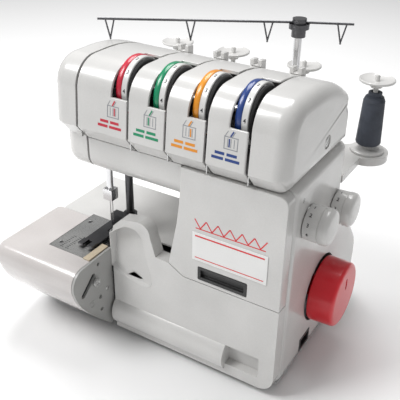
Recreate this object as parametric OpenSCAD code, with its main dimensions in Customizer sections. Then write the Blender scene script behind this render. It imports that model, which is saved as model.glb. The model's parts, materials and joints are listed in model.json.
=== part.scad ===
// Serger overlock machine: four-thread overlock sewing machine with a free-arm cloth plate.
// Machine frame: X = 0 on the right wall, Y = 0 on the face of the front cover, Z = 0 on the table.
// Everything is drawn in the machine frame and then moved so that the origin is the centre of
// the footprint's box.

/* [Body] */
// Width of the head, from the right wall to its left end
head_w = 240; // [232:1:290]
// Width of the column that carries the head
column_w = 105; // [90:1:126]
// Height of the parting line between the head and the column
parting_h = 221; // [214:1:266]
// Depth of the column at the table, with the motor bulge
body_d = 208; // [200:1:250]
// Depth of the head
head_d = 130; // [126:1:150]
// Height of the head over the parting line
head_h = 77; // [72:1:92]
// Drop of the head's left part below the parting line
jaw_drop = 35; // [28:1:42]
// Height of the sewing surface
bed_h = 105; // [100:1:115]
// Width of the fixed bed, from the right wall to its left edge
bed_w = 283; // [278:1:300]
// Depth of the rear edge of the fixed bed
bed_back = 125; // [121:1:140]
// Wall thickness of the plastic covers
wall = 2.5; // [1.6:0.1:3]
// Gap between neighbouring covers
cover_gap = 0.5; // [0.4:0.1:1]
// Thickness of the front cover and of the upper front panel
front_t = 14; // [12:1:16]
// Height of the rubber feet
foot_h = 6; // [4:1:10]
// Radius of a rubber foot
foot_r = 9; // [7:1:12]

/* [Head] */
// Width of the head's right shoulder
shoulder_w = 35.5; // [30:0.5:42]
// Width of the head's rounded left end
left_cap_w = 30; // [24:1:36]
// Distance between two thread gaps of the head
gap_pitch = 39.2; // [36:0.1:44]
// Width of a thread gap
gap_w = 2.2; // [1.6:0.1:3]
// Radius of a tension dial
dial_r = 27.5; // [26.5:0.5:28.5]
// Width of a tension dial
dial_w = 14.5; // [12:0.5:16]
// Radius of the spindle that carries the dials
spindle_r = 3; // [2:0.5:4]

/* [Bed and cloth plate] */
// Left end of the cloth plate cover
arm_left = 300; // [296:1:330]
// Distance of the grey end plate from the right wall
end_plate_x = 188; // [186:1:196]
// Front reach of the cloth plate cover
arm_front = 57; // [50:1:66]
// Rear edge of the cloth plate cover's top
arm_back = 38; // [34:1:44]
// Thickness of the needle plate
needle_plate_t = 2; // [1.5:0.5:3]

/* [Stitch parts] */
// Radius of the needle bar
needle_bar_r = 3.6; // [3:0.1:5]
// Radius of the presser bar
presser_bar_r = 4; // [3:0.1:5]
// Lowest point of the needles over the sewing surface
needle_lift = 13; // [10:1:20]

/* [Drive] */
// Radius of the main shaft
shaft_r = 5; // [4:0.5:7]
// Radius of the shaft pulley
pulley_r = 30; // [26:1:31]
// Radius of the motor pulley
motor_pulley_r = 8; // [6:1:10]
// Radius of the motor
motor_r = 28; // [24:1:29]
// Radius of the handwheel
wheel_r = 34; // [30:1:36]
// Reach of the handwheel beyond the right wall
wheel_reach = 28; // [22:1:34]
// Radius of a setting knob
knob_r = 17; // [14:1:19]

/* [Thread stand] */
// Height of the spool stand's top
stand_h = 185; // [181:1:222]
// Thickness of the spool stand
stand_t = 8; // [6:1:12]
// Radius of a lobe of the spool stand
lobe_r = 22; // [20:1:24]
// Height of a spool pin over the stand
pin_h = 82; // [76:1:96]
// Radius of a spool pin
pin_r = 2.5; // [2:0.5:3.5]
// Radius of a spool cap
cap_r = 18; // [14:1:20]
// Outer radius of the lowest mast tube
mast_r = 6; // [5:0.5:8]
// Outer radius of the middle mast tube
mast_mid_r = 4.9; // [4.4:0.1:4.9]
// Outer radius of the top mast tube
mast_top_r = 3.85; // [3:0.05:3.9]
// Height of the guide wire over the table
wire_h = 312; // [310:1:360]

/* [Hidden] */
$fn = 48;
running_gap = 0.05;
clearance = 0.4;
white = "whitesmoke";
steel = "silver";
floor_z = foot_h + 2;
head_top = parting_h + head_h;
head_floor = parting_h - jaw_drop;
gap_x = [for (i = [0:3]) -shoulder_w - (3 - i) * gap_pitch];
left_cap_x = -head_w + left_cap_w;
panel_back = 90;
nose_r = 28;
rear_r = 18;
nose_c = [22, head_top - nose_r];
dial_c = nose_c + [5, 5];
shaft_c = [98, 73];
motor_c = [165, 50];
switch_c = [118, 24];
switch_r = 6;
length_knob_c = [47, parting_h - 44];
diff_knob_c = [115, parting_h - 61];
hinge_c = [10, 14];
arm_pivot = [-bed_w - 3, arm_back - 1.5];
needle_x = -205;
needle_y = 27;
presser_p = [-188, 36];
knife_pivot = [-8, 62];
plate_x = [-245, -200];
plate_y = [-26, 44];
stand_front = head_d;
pin_xy = [[-233, 194], [-163, 198], [-79, 198], [-1, 198]];
mast_p = [-78, 173];
mast_foot_z = 134;
mast_tube_top = 257;
knife_x = -199.6;
lower_pivot = [-168, 38];
looper_pin_r = 2.5;
upper_tip = [-197, 103.5];
looper_lean = 57;
lifter_c = [104, head_floor + 8];
origin_shift = [
    (arm_left - wheel_reach) / 2,
    -(pin_xy[1][1] + lobe_r - arm_front) / 2,
    0];

function unit(v) = v / norm(v);
function arc(c, r, from, to, steps = 8) =
    [for (i = [0:steps]) let (a = from + (to - from) * i / steps) c + r * [cos(a), sin(a)]];
// Outline moved inwards by d; the points run anticlockwise.
function inset(p, d) = [for (i = [0:len(p) - 1])
    let (n = len(p), a = p[(i + n - 1) % n], b = p[i], c = p[(i + 1) % n],
         u = unit([a[1] - b[1], b[0] - a[0]]), v = unit([b[1] - c[1], c[0] - b[0]]))
    b + d * (u + v) / (1 + u * v)];

// Moves a piece from the machine frame to the frame of the whole object.
module place() { translate(origin_shift) children(); }

// A YZ outline run along X from x0 to x1.
module along_x(x0, x1, outline)
    translate([x0, 0, 0]) rotate([90, 0, 90]) linear_extrude(x1 - x0) polygon(outline);

// An XZ outline run along Y from y0 to y1.
module along_y(y0, y1, outline)
    translate([0, y1, 0]) rotate([90, 0, 0]) linear_extrude(y1 - y0) polygon(outline);

// A block between two corners.
module block(a, b) translate(a) cube(b - a);

// A round bar along X.
module round_x(x0, x1, c, r) translate([x0, c[0], c[1]]) rotate([0, 90, 0]) cylinder(h = x1 - x0, r = r);

// A round rod from p to q.
module rod(p, q, r) {
    d = q - p;
    translate(p) rotate([0, acos(d[2] / norm(d)), atan2(d[1], d[0])]) cylinder(h = norm(d), r = r, $fn = 20);
}

// An outline run along X whose ends round over in four steps.
module round_bar(x0, x1, outline, r0, r1) {
    steps = 4;
    along_x(x0 + r0, x1 - r1, outline);
    for (k = [1:steps]) {
        d = 1 - cos(90 * (k - 0.5) / steps);
        reach = sin(90 * k / steps);
        if (r0 > 0) along_x(x0 + r0 - r0 * reach, x0 + r0 + 0.5, inset(outline, r0 * d));
        if (r1 > 0) along_x(x1 - r1 - 0.5, x1 - r1 + r1 * reach, inset(outline, r1 * d));
    }
}

// Crown of the head, from the chin over the nose to the rear wall.
function crown() = concat(
    [[4, parting_h + 1], [head_d, parting_h + 1]],
    arc([head_d - rear_r, head_top - 30 - rear_r], rear_r, 0, 44, 4),
    arc([42, head_top - 150], 150, 56, 90, 6),
    arc(nose_c, nose_r, 90, 182, 8),
    [[-9, parting_h + 16]]);
// The same crown with the jaw below it.
function crown_and_jaw() = concat(
    arc([21, head_floor + 17], 17, 180, 270, 5),
    arc([head_d - rear_r, head_floor + rear_r], rear_r, 270, 360, 5),
    arc([head_d - rear_r, head_top - 30 - rear_r], rear_r, 0, 44, 4),
    arc([42, head_top - 150], 150, 56, 90, 6),
    arc(nose_c, nose_r, 90, 182, 8),
    [[-9, parting_h + 16], [4, parting_h + 1]]);
// Height of the crown's top at a depth behind its flat part.
function crown_z(y) = head_top - 150 + sqrt(150 * 150 - (y - 42) * (y - 42));
// Side of the column with the sloping back of the motor bulge.
function column_side() = concat(
    [[front_t + cover_gap, floor_z]],
    arc([body_d - 10, floor_z + 10], 10, 270, 360, 4),
    arc([body_d - 40, 60], 40, 0, 40, 4),
    [[head_d + 5, 162], [head_d, 172], [head_d, parting_h], [front_t + cover_gap, parting_h]]);
// Side of the free arm: flat top, blunt nose and slanting underside.
function arm_side(back) = concat(
    [[-5, 13], [back, 13], [back, bed_h]],
    arc([-arm_front + 17, bed_h - 17], 17, 90, 200, 11),
    [[-44, 56]]);
function arm_plate(back) = concat(
    [[-5, 13], [back, 13], [back, bed_h + 1]],
    arc([-arm_front + 17, bed_h - 16], 17, 90, 200, 11),
    [[-44, 56]]);

module head_solid(grow) {
    left = -head_w + wall * grow;
    mid = -column_w - wall * grow;
    right = -wall * grow;
    round_bar(left, mid, inset(crown_and_jaw(), wall * grow), 13, 0);
    round_bar(mid - grow, right, inset(crown(), wall * grow), 0, 13);
}

module dial_slots()
    for (x = gap_x) block([x - dial_w - 3.5, -20, nose_c[1] + 2], [x + 1, dial_c[0] + 21, head_top + 10]);

module head_shell() difference() {
    head_solid(0);
    head_solid(1);
    dial_slots();
}

module base_tray() color("gainsboro") {
    difference() {
        union() {
            block([-bed_w + 2, front_t + 2, foot_h], [-2, bed_back - 1, floor_z]);
            block([-column_w + 1, bed_back - 1, foot_h], [-2, body_d - 14, floor_z]);
            translate([arm_pivot[0], arm_pivot[1], foot_h]) cylinder(h = floor_z - foot_h, r = 6);
            block([arm_pivot[0], arm_pivot[1] - 6, foot_h], [-bed_w + 8, arm_pivot[1] + 6, floor_z]);
            for (x = [-178, -96, -14]) {
                block([x - 2, hinge_c[0], foot_h], [x + 2, front_t + 3, floor_z]);
                block([x - 2, hinge_c[0], foot_h], [x + 2, front_t + 0.3, floor_z + 4]);
                round_x(x - 2, x + 2, hinge_c, 4.2);
            }
        }
        round_x(-190, 0, hinge_c, 2);
        translate([arm_pivot[0], arm_pivot[1], foot_h - 1]) cylinder(h = 10, r = 2);
    }
}

module rubber_feet() color("dimgray")
    for (p = [[-bed_w + 20, front_t + 16], [-20, front_t + 16], [-bed_w + 20, bed_back - 18],
        [-20, body_d - 30]])
        translate([p[0], p[1], 0]) cylinder(h = foot_h, r = foot_r);

module machine_frame() color("slategray") difference() {
    union() {
        block([-bed_w + 11, 42, floor_z], [-14, bed_back - 8, floor_z + 6]);
        block([-column_w + 4, bed_back - 9, floor_z], [-14, body_d - 16, floor_z + 6]);
        block([-column_w + 12, motor_c[0] - 14, floor_z + 5], [-66, motor_c[0] + 14, motor_c[1] - motor_r + 3]);
        block([-column_w + 3, 42, floor_z + 5], [-column_w + 9, bed_back - 8, parting_h + 24]);
        block([-236, 48, floor_z + 5], [-230, bed_back - 8, bed_h - 9]);
        block([-188, 37, floor_z + 5], [-182, bed_back - 16, bed_h - 9]);
        block([-183, 44, floor_z + 5], [-column_w + 4, 48, 74]);
        translate([0, 46, 0]) rotate([90, 0, 0]) {
            translate([lower_pivot[0], lower_pivot[1], 0]) cylinder(h = 22, r = looper_pin_r);
            translate([lower_pivot[0], lower_pivot[1], 0]) cylinder(h = 12, r = 7);
        }
        block([-244, 48, bed_h - 10], [-182, 62, bed_h - wall - 0.2]);
        block([-244, plate_y[0] + 1, bed_h - 7], [-224, plate_y[1], bed_h - needle_plate_t]);
        block([-244, plate_y[1] - 4, bed_h - 10], [-224, 50, bed_h - wall - 0.2]);
        block([-224, plate_y[0] + 1, bed_h - 7], [-192, plate_y[0] + 12, bed_h - needle_plate_t]);
        block([-206, 26, 40], [-186, 40, 52]);
        block([-206, 12, 40], [knife_x, 28, 52]);
        block([-228, 54, parting_h + 5], [-column_w + 9, head_d - 20, parting_h + 24]);
        for (x = [-176, -157.5])
            block([x, lifter_c[0] - 6, lifter_c[1] - 4], [x + 3.5, lifter_c[0] + 6, parting_h + 8]);
        block([needle_x - 8, needle_y - 8, parting_h + 9], [needle_x + 8, 56, parting_h + 21]);
        block([presser_p[0] - 8, presser_p[1] - 8, parting_h - 4], [presser_p[0] + 8, 60, parting_h + 9]);
        for (x = [gap_x[0] - 24, gap_x[3] + 3])
            along_x(x, x + 4, [[56, parting_h + 20], [66, parting_h + 23], [66, parting_h + 30],
                [dial_c[0] + 6, dial_c[1] + 6], [dial_c[0] - 6, dial_c[1] + 6], [dial_c[0] - 6, dial_c[1] - 6]]);
        block([-column_w + 3, 54, parting_h + 5], [gap_x[3] + 7, 66, parting_h + 24]);
    }
    block([-222, 62, parting_h + 9], [-column_w, head_d - 28, parting_h + 30]);
    translate([needle_x, needle_y, parting_h]) cylinder(h = 40, r = needle_bar_r + running_gap);
    translate([presser_p[0], presser_p[1], parting_h - 10]) cylinder(h = 50, r = presser_bar_r + running_gap);
    round_x(-240, -90, shaft_c, shaft_r + 3);
    round_x(-200, 0, dial_c, spindle_r);
    round_x(-180, -150, lifter_c, 2);
    round_x(-103, -60, motor_c, motor_r);
}

module bed_housing() color(white) difference() {
    block([-bed_w, arm_back + cover_gap, floor_z], [-column_w - cover_gap, bed_back, bed_h]);
    block([-bed_w + wall, 30, floor_z - 1], [-column_w - cover_gap - wall, bed_back - wall, bed_h - wall]);
    block([plate_x[0] - cover_gap, 30, bed_h - 10], [plate_x[1] + 5, plate_y[1] + cover_gap, bed_h + 1]);
    block([-230, 30, 14], [-column_w - 10, 45, bed_h - 4]);
    block([-column_w - 20, 30, floor_z - 1], [-column_w + 1, bed_back - 6, bed_h - 8]);
    translate([arm_pivot[0], arm_pivot[1], 0]) cylinder(h = 200, r = 5);
}

module column_housing() color(white) difference() {
    round_bar(-column_w, 0, column_side(), 0, 9);
    round_bar(-column_w + wall, -wall, inset(column_side(), wall), 0, 8);
    block([-column_w + wall, front_t + 4, parting_h - 5], [-wall - 6, head_d - wall, parting_h + 1]);
    block([-column_w + wall, front_t + 5, floor_z - 1], [-wall - 6, body_d - 15, floor_z + wall + 1]);
    block([-column_w - 1, 40, floor_z - 1], [-column_w + 4, bed_back - 4, bed_h - 8]);
    block([-column_w + 6, 0, 20], [-8, front_t + 5, parting_h - 8]);
    block([-column_w - 1, 0, 20], [-column_w + 8, 34, bed_h - 6]);
    round_x(-12, 10, shaft_c, wheel_r + 2);
    round_x(-12, 10, length_knob_c, spindle_r + running_gap);
    round_x(-12, 10, diff_knob_c, spindle_r + running_gap);
    round_x(-12, 10, switch_c, switch_r + running_gap);
    round_x(-12, 10, [32, parting_h - 16], 3);
    block([-30, 60, 14], [5, 84, 30]);
    for (i = [0:6]) translate([-84 + 11 * i, 0, 0]) block([0, head_d + 20, 95], [5, body_d + 10, 130]);
}

module upper_front_panel() color(white) {
    outline = concat([[-100, bed_h + 1], [0, bed_h + 1]], arc([-8, parting_h - 8], 8, 0, 90, 3),
        [[-column_w + 2, parting_h], [-column_w, head_floor - 2], [-column_w - 3, parting_h - 60],
            [-117, bed_h + 11]]);
    difference() {
        along_y(0, front_t, outline);
        along_y(wall, front_t + 1, inset(outline, wall));
        block([-84, -1, bed_h + 5], [-33, wall + 1, bed_h + 19]);
    }
}

module label_plate() color("white") block([-90, -0.8, bed_h + 26], [-14, 0, bed_h + 56]);

module looper_window() color("#202020") difference() {
    block([-84, -0.5, bed_h + 5], [-33, wall + 3, bed_h + 19]);
    block([-81, -1, bed_h + 8], [-36, 3, bed_h + 16]);
}

module front_cover() color(white) {
    left = -end_plate_x + 3.2;
    outline = concat([[left, floor_z]], arc([-16, floor_z + 16], 16, 270, 360, 5),
        [[0, bed_h + 0.5], [-100.5, bed_h + 0.5], [-118, bed_h + 10.5]],
        [[-132, bed_h + 11]], arc([-151, bed_h + 31], 13, 0, 110, 6),
        [[-172, bed_h + 40], [-182, bed_h + 30], [left, bed_h + 15]]);
    difference() {
        union() {
            difference() {
                along_y(0, front_t, outline);
                along_y(wall, front_t + 1, inset(outline, wall));
                block([left - 1, wall, floor_z - 1], [-6, front_t + 1, floor_z + wall + 1]);
                block([left - 1, hinge_c[0], floor_z - 1], [1, front_t + 1, hinge_c[1]]);
            }
            intersection() {
                round_x(left, -52, [13, 28.5], 20);
                block([left - 1, -20, floor_z], [0, wall, 60]);
            }
            block([-54, 1, 18.6], [-14, 11.5, 46]);
            for (x = [-176, -110, -94, -28]) {
                block([x + 0.5, 1, hinge_c[1] - 3], [x + 11.5, hinge_c[0], hinge_c[1] + 3]);
                round_x(x + 0.5, x + 11.5, hinge_c, 4.2);
            }
        }
        block([-52, -30, 20.6], [-16, 9, 44]);
        round_x(-190, 0, hinge_c, 2 + running_gap);
        block([-180.5, 3, 0], [-175.5, 20, 20]);
    }
}

module hinge_pins() color(steel) {
    round_x(-176, -154, lifter_c, 2);
    round_x(-181, -11, hinge_c, 2);
    translate([arm_pivot[0], arm_pivot[1], foot_h]) cylinder(h = bed_h - foot_h - 8, r = 2);
}

module cloth_plate_cover() color("#f4ebe8") {
    right = -end_plate_x - 2.5 - 0.6;
    difference() {
        union() {
            difference() {
                round_bar(-arm_left, right, arm_side(arm_back), 16, 0);
                round_bar(-arm_left + wall, right + 1, inset(arm_side(arm_back), wall), 14, 0);
                block([-arm_left + wall + 5, 5, 0], [right + 1, arm_back + 1, bed_h - wall]);
                block([-arm_left + wall + 5, -3, 0], [right + 1, arm_back + 1, 22]);
                block([plate_x[0] - cover_gap, plate_y[0] - cover_gap, bed_h - 8],
                    [right + 1, arm_back + 1, bed_h + 1]);
            }
            for (z = [22, 78]) {
                translate([arm_pivot[0], arm_pivot[1], z]) cylinder(h = 10, r = 4.2);
                block([-arm_left + 1.5, arm_pivot[1] - 8, z], [arm_pivot[0], arm_pivot[1] + 1, z + 10]);
            }
        }
        translate([arm_pivot[0], arm_pivot[1], 0]) cylinder(h = bed_h - 6, r = 2 + running_gap);
    }
}

module end_plate() color("silver") difference() {
    union() {
        along_x(-end_plate_x - 2.5, -end_plate_x, arm_plate(2));
        block([-end_plate_x - 2.5, 1, 16], [-end_plate_x, 50, 36]);
    }
    translate([-end_plate_x - 4, -24, 84]) rotate([-17, 0, 0]) block([0, -2, -14], [6, 2, 12]);
    round_x(-end_plate_x - 4, 0, [-18, 66], 2.5 + running_gap);
    round_x(-end_plate_x - 4, 0, knife_pivot, 3);
    for (c = [[-16, 46], [-26, 88], [-38, 78]]) round_x(-end_plate_x - 4, 0, c, 1.6);
}

module end_plate_screws() color(steel) {
    for (c = [[-16, 46], [-26, 88], [-38, 78]]) {
        round_x(-end_plate_x - 3, -end_plate_x, c, 1.6);
        round_x(-end_plate_x, -end_plate_x + 1.6, c, 3.4);
    }
    round_x(-197, -end_plate_x + 1.4, knife_pivot, 3);
    for (c = [[73, parting_h + 22]]) round_x(-wall, 0.6, c, 3.4);
    round_x(-wall - 2, 0.6, [32, parting_h - 16], 3);
}

module width_lever() color(steel) {
    round_x(-end_plate_x - 3, -end_plate_x, [-18, 66], 2.5);
    round_x(-end_plate_x + 0.4, -end_plate_x + 2.4, [-18, 66], 6.5);
    round_x(-end_plate_x - 0.1, -end_plate_x + 0.5, [-18, 66], 2.5);
    block([-end_plate_x + 0.6, -34, 63], [-end_plate_x + 2.2, -18, 69]);
}

module needle_plate() color("lightgray") difference() {
    block([plate_x[0], plate_y[0], bed_h - needle_plate_t], [plate_x[1], plate_y[1], bed_h]);
    block([needle_x - 3, needle_y - 4, bed_h - 5], [needle_x + 3, needle_y + 5, bed_h + 1]);
    for (x = [-221, -213]) block([x, 4, bed_h - 5], [x + 4, 42, bed_h + 1]);
    for (p = [[-238, -16], [-238, 30]]) translate([p[0], p[1], bed_h - 5]) cylinder(h = 10, r = 2.2);
}

module seam_guard() color("wheat") {
    block([-199.4, plate_y[0] - 2, bed_h], [-191.6, 2, bed_h + 1.6]);
    block([-199.4, plate_y[0] + 1, bed_h - 2], [-191.6, plate_y[0] + 12, bed_h]);
}

module head_rear_cover() color(white) difference() {
    intersection() {
        head_shell();
        union() {
            block([left_cap_x + gap_w / 2, panel_back + cover_gap, head_floor - 9],
                [gap_x[3] - gap_w / 2 + 0.8, 300, 500]);
            block([left_cap_x + gap_w / 2, 0, head_floor - 9], [-column_w, 300, parting_h + 0.5]);
        }
    }
    block([-216, 12, head_floor - 1], [-176, 58, head_floor + 12]);
    block([-column_w - 4, 20, parting_h - 10], [-wall - 8, head_d - 8, parting_h + wall + 3]);
    block([-172.3, lifter_c[0] - 12, head_floor - 1], [-157.7, head_d + 1, head_floor + 24]);
}

module left_head_cap() color(white) difference() {
    intersection() {
        head_shell();
        block([-head_w - 5, -30, head_floor - 9], [left_cap_x - gap_w / 2, 300, 500]);
    }
    block([-219, 12, head_floor - 1], [-200, 58, head_floor + 12]);
}

module right_head_shoulder() color(white) difference() {
    intersection() {
        head_shell();
        block([gap_x[3] + gap_w / 2 + 0.8, -30, parting_h - 20], [10, 300, 500]);
    }
    block([-shoulder_w - 4, 20, parting_h - 10], [-wall - 8, head_d - 8, parting_h + wall + 3]);
    round_x(-wall - 1, 5, [73, parting_h + 22], 3.8);
}

module tension_panel(i) color(white) difference() {
    intersection() {
        head_shell();
        block([i == 0 ? left_cap_x + gap_w / 2 : gap_x[i - 1] + gap_w / 2, -30, parting_h + 1],
            [gap_x[i] - gap_w / 2, panel_back, 500]);
    }
    block([-column_w - 4, 20, parting_h - 10], [-wall - 8, head_d - 8, parting_h + wall + 3]);
}

module tension_dial(i, tint) {
    x = gap_x[i] - dial_w - 2.5;
    difference() {
        union() {
            color(tint) round_x(x, x + dial_w * 0.4, dial_c, dial_r);
            color("white") round_x(x + dial_w * 0.4, x + dial_w * 0.8, dial_c, dial_r);
            color("#303030") round_x(x + dial_w * 0.8, x + dial_w, dial_c, dial_r - 2);
        }
        round_x(x - 1, x + dial_w + 1, dial_c, spindle_r + running_gap);
        round_x(x + dial_w - 5, x + dial_w + 1, dial_c, dial_r - 6);
    }
}

module dial_spindle() color(steel) round_x(gap_x[0] - 26, gap_x[3] + 9, dial_c, spindle_r);

module tension_discs() color(steel)
    for (x = gap_x) for (k = [0, 1]) difference() {
        round_x(x - 2 + k * 1.2, x - 1.2 + k * 1.2, dial_c, 12);
        round_x(x - 3, x + 3, dial_c, spindle_r);
    }

module thread_slot_guides() color(steel)
    for (x = concat([left_cap_x], gap_x)) block([x - 0.5, -4, parting_h + 4], [x + 0.5, 16, parting_h + 12]);

module rear_thread_clips() color("white")
    for (x = gap_x) difference() {
        along_x(x - 16, x - 4, [[97, crown_z(97) + 0.1], [106, crown_z(106) + 0.1], [106, head_top - 5],
            [97, head_top - 4]]);
        block([x - 12, 95, head_top - 9], [x - 8, 107, head_top - 3]);
    }

module needle_bar() color(steel) {
    tip = bed_h + needle_lift;
    translate([needle_x, needle_y, tip + 33]) cylinder(h = parting_h + 40 - tip - 33, r = needle_bar_r);
    difference() {
        block([needle_x - 5.5, needle_y - 5.5, tip + 28], [needle_x + 5.5, needle_y + 5, tip + 40]);
        for (x = [-1.5, 1.5]) translate([needle_x + x, needle_y, tip]) cylinder(h = 36, r = 0.85);
        translate([needle_x, needle_y, tip + 33]) cylinder(h = 60, r = needle_bar_r);
    }
}

module needles() color("gray")
    for (x = [-1.5, 1.5]) translate([needle_x + x, needle_y, bed_h + needle_lift]) {
        cylinder(h = 4, r1 = 0.15, r2 = 0.5);
        translate([0, 0, 4]) cylinder(h = 22, r = 0.5);
        translate([0, 0, 26]) cylinder(h = 7, r = 0.85);
    }

module presser_bar() color(steel)
    translate([presser_p[0], presser_p[1], bed_h + 17]) cylinder(h = parting_h + 33 - bed_h, r = presser_bar_r);

module presser_foot() color("dimgray") difference() {
    sole_z = bed_h + 0.4;
    union() {
        block([-219, -2, sole_z], [-201, 52, sole_z + 2.6]);
        block([-219, -12, sole_z + 2], [-213, -1.9, sole_z + 4]);
        block([-207, -12, sole_z + 2], [-201, -1.9, sole_z + 4]);
        block([-212, 34, sole_z + 2], [-201, 46, sole_z + 12]);
        block([-212, presser_p[1] - 3, sole_z + 9], [-184, presser_p[1] + 7, sole_z + 17]);
        translate([presser_p[0], presser_p[1], sole_z + 9]) cylinder(h = 16, r = 7);
    }
    block([needle_x - 3.5, needle_y - 5, sole_z - 1], [needle_x + 3.5, needle_y + 5, sole_z + 8]);
    translate([presser_p[0], presser_p[1], bed_h + 17]) cylinder(h = 40, r = presser_bar_r);
}

module presser_lifter() color("dimgray") {
    difference() {
        union() {
            round_x(-169, -161, lifter_c, 6);
            along_x(-168, -162, [lifter_c + [-5, 1], lifter_c + [-3, -6], lifter_c + [18, -51],
                lifter_c + [26, -48], lifter_c + [5, 2]]);
        }
        round_x(-180, -150, lifter_c, 2 + running_gap);
    }
    round_x(-172, -158, lifter_c + [22, -50], 4);
}

module upper_knife() color(steel) difference() {
    union() {
        block([knife_x + 2.4, 12, bed_h - 3], [knife_x + 4.2, 21, bed_h + 13]);
        along_x(knife_x + 4.2, knife_x + 7.1, [[knife_pivot[0] - 3, knife_pivot[1] - 3],
            [knife_pivot[0] + 4, knife_pivot[1] - 1], [17, bed_h - 8], [20, bed_h + 2], [12, bed_h + 5]]);
        round_x(knife_x + 3.2, knife_x + 7.1, knife_pivot, 7);
    }
    round_x(-300, 0, knife_pivot, 3 + running_gap);
}

module lower_knife() color(steel) block([knife_x, 13, 41], [knife_x + 2, 22, bed_h - 0.2]);

module lower_looper() color(steel) difference() {
    union() {
        translate([0, 33.6, 0]) rotate([90, 0, 0]) translate([lower_pivot[0], lower_pivot[1], 0])
            cylinder(h = 8, r = 8);
        along_y(28.4, 30.6, [lower_pivot + [-6, -2], lower_pivot + [7, 3], [-183, 82], [-192, 87], [-212, 92.5],
            [-214, 91], [-194, 82], [-188, 76]]);
    }
    translate([0, 40, 0]) rotate([90, 0, 0]) translate([lower_pivot[0], lower_pivot[1], 0])
        cylinder(h = 20, r = looper_pin_r + running_gap);
}

module upper_looper() color("gray") {
    along = [-cos(looper_lean), sin(looper_lean)];
    side = [sin(looper_lean), cos(looper_lean)];
    along_y(22.6, 25.2, [upper_tip, upper_tip - 4 * along - 0.8 * side, upper_tip - 34 * along - 2 * side,
        upper_tip - 56 * along - 3 * side, upper_tip - 56 * along + 4 * side, upper_tip - 34 * along + 3 * side,
        upper_tip - 4 * along + 1.6 * side]);
}

module feed_dogs() color("gray") difference() {
    union() {
        block([-222, 4, bed_h - 8], [-208, 44, bed_h - 4]);
        for (x = [-220.5, -212.5]) block([x, 6.5, bed_h - 5], [x + 3, 39.5, bed_h - 0.2]);
    }
    for (x = [-220.5, -212.5]) for (i = [0:12])
        translate([x - 1, 8.5 + 2.5 * i, bed_h - 1.2]) block([0, -0.5, 0], [5, 0.5, 2]);
}

module column_peg() color(white) {
    round_x(-column_w - 18, -column_w, [42, bed_h + 48], 5);
    round_x(-column_w - 22, -column_w - 18, [42, bed_h + 48], 7);
}

module main_shaft() color(steel) round_x(-236, wheel_reach - 12, shaft_c, shaft_r);

module shaft_bearings() color("darkgoldenrod")
    for (x = [-236, -column_w + 3]) difference() {
        round_x(x, x + 6, shaft_c, shaft_r + 3);
        round_x(x - 1, x + 7, shaft_c, shaft_r + running_gap);
    }

module shaft_pulley() color("dimgray") difference() {
    union() {
        round_x(-60, -46, shaft_c, pulley_r);
        for (x = [-61.5, -46]) round_x(x, x + 1.5, shaft_c, pulley_r + 3);
    }
    round_x(-70, -40, shaft_c, shaft_r);
}

module handwheel() color("crimson") difference() {
    union() {
        round_x(1, wheel_reach - 4, shaft_c, wheel_r);
        round_x(wheel_reach - 4, wheel_reach - 1.5, shaft_c, wheel_r - 1.5);
        round_x(wheel_reach - 1.5, wheel_reach, shaft_c, wheel_r - 5);
        round_x(-14, 1, shaft_c, 12);
    }
    round_x(-20, wheel_reach - 12, shaft_c, shaft_r);
    block([wheel_reach - 3, shaft_c[0] - 2, shaft_c[1] + 8], [wheel_reach + 1, shaft_c[0] + 2, shaft_c[1] + 20]);
}

module motor() color("dimgray") difference() {
    union() {
        round_x(-column_w + 12, -66, motor_c, motor_r);
        round_x(-66, -64, motor_c, 10);
    }
    round_x(-90, -60, motor_c, 2.5 + running_gap);
}

module motor_pulley() color(steel) {
    round_x(-84, -46, motor_c, 2.5);
    round_x(-60, -46, motor_c, motor_pulley_r);
}

module drive_belt() color("#202020") {
    span = norm(motor_c - shaft_c);
    aim = atan2(motor_c[1] - shaft_c[1], motor_c[0] - shaft_c[0]);
    lean = acos((pulley_r - motor_pulley_r) / span);
    difference() {
        along_x(-59, -47, concat(arc(shaft_c, pulley_r + 2.4, aim + lean, aim + 360 - lean, 32),
            arc(motor_c, motor_pulley_r + 2.4, aim - lean, aim + lean, 14)));
        along_x(-60, -46, concat(arc(shaft_c, pulley_r + 0.4, aim + lean, aim + 360 - lean, 32),
            arc(motor_c, motor_pulley_r + 0.4, aim - lean, aim + lean, 14)));
    }
}

module setting_knob(c, reach) color(white) {
    round_x(-10, 0.6, c, spindle_r);
    round_x(0.5, 9, c, knob_r - 1);
    round_x(9, reach - 4, c, knob_r);
    round_x(reach - 4, reach - 1, c, knob_r - 2);
    round_x(reach - 1, reach, c, knob_r - 6);
}

module stitch_length_knob() setting_knob(length_knob_c, 24);

module differential_knob() setting_knob(diff_knob_c, 21.5);

module power_inlet() color("#202020") difference() {
    block([-24, 60, 14], [0.6, 84, 30]);
    block([-16, 63, 17], [1, 81, 27]);
}

module power_switch() color("#303030") {
    round_x(-8, 3.5, switch_c, switch_r);
    round_x(-14, -8, switch_c, switch_r + 3);
}

module spool_stand() color(white) difference() {
    union() {
        block([pin_xy[0][0], stand_front, stand_h - stand_t], [pin_xy[3][0], pin_xy[1][1] + 8, stand_h]);
        for (p = pin_xy) translate([p[0], p[1], stand_h - stand_t]) cylinder(h = stand_t, r = lobe_r);
        translate([mast_p[0], mast_p[1], mast_foot_z]) cylinder(h = stand_h - mast_foot_z, r = mast_r + 4);
    }
    for (i = [0:2]) {
        mid = (pin_xy[i] + pin_xy[i + 1]) / 2;
        translate([mid[0], pin_xy[1][1] + 26, stand_h - stand_t - 1]) cylinder(h = stand_t + 2, r = 27);
    }
    translate([mast_p[0], mast_p[1], mast_foot_z + 3]) cylinder(h = 200, r = mast_r);
    for (p = pin_xy) translate([p[0], p[1], stand_h - stand_t - 1]) cylinder(h = stand_t + 2, r = pin_r);
}

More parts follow.
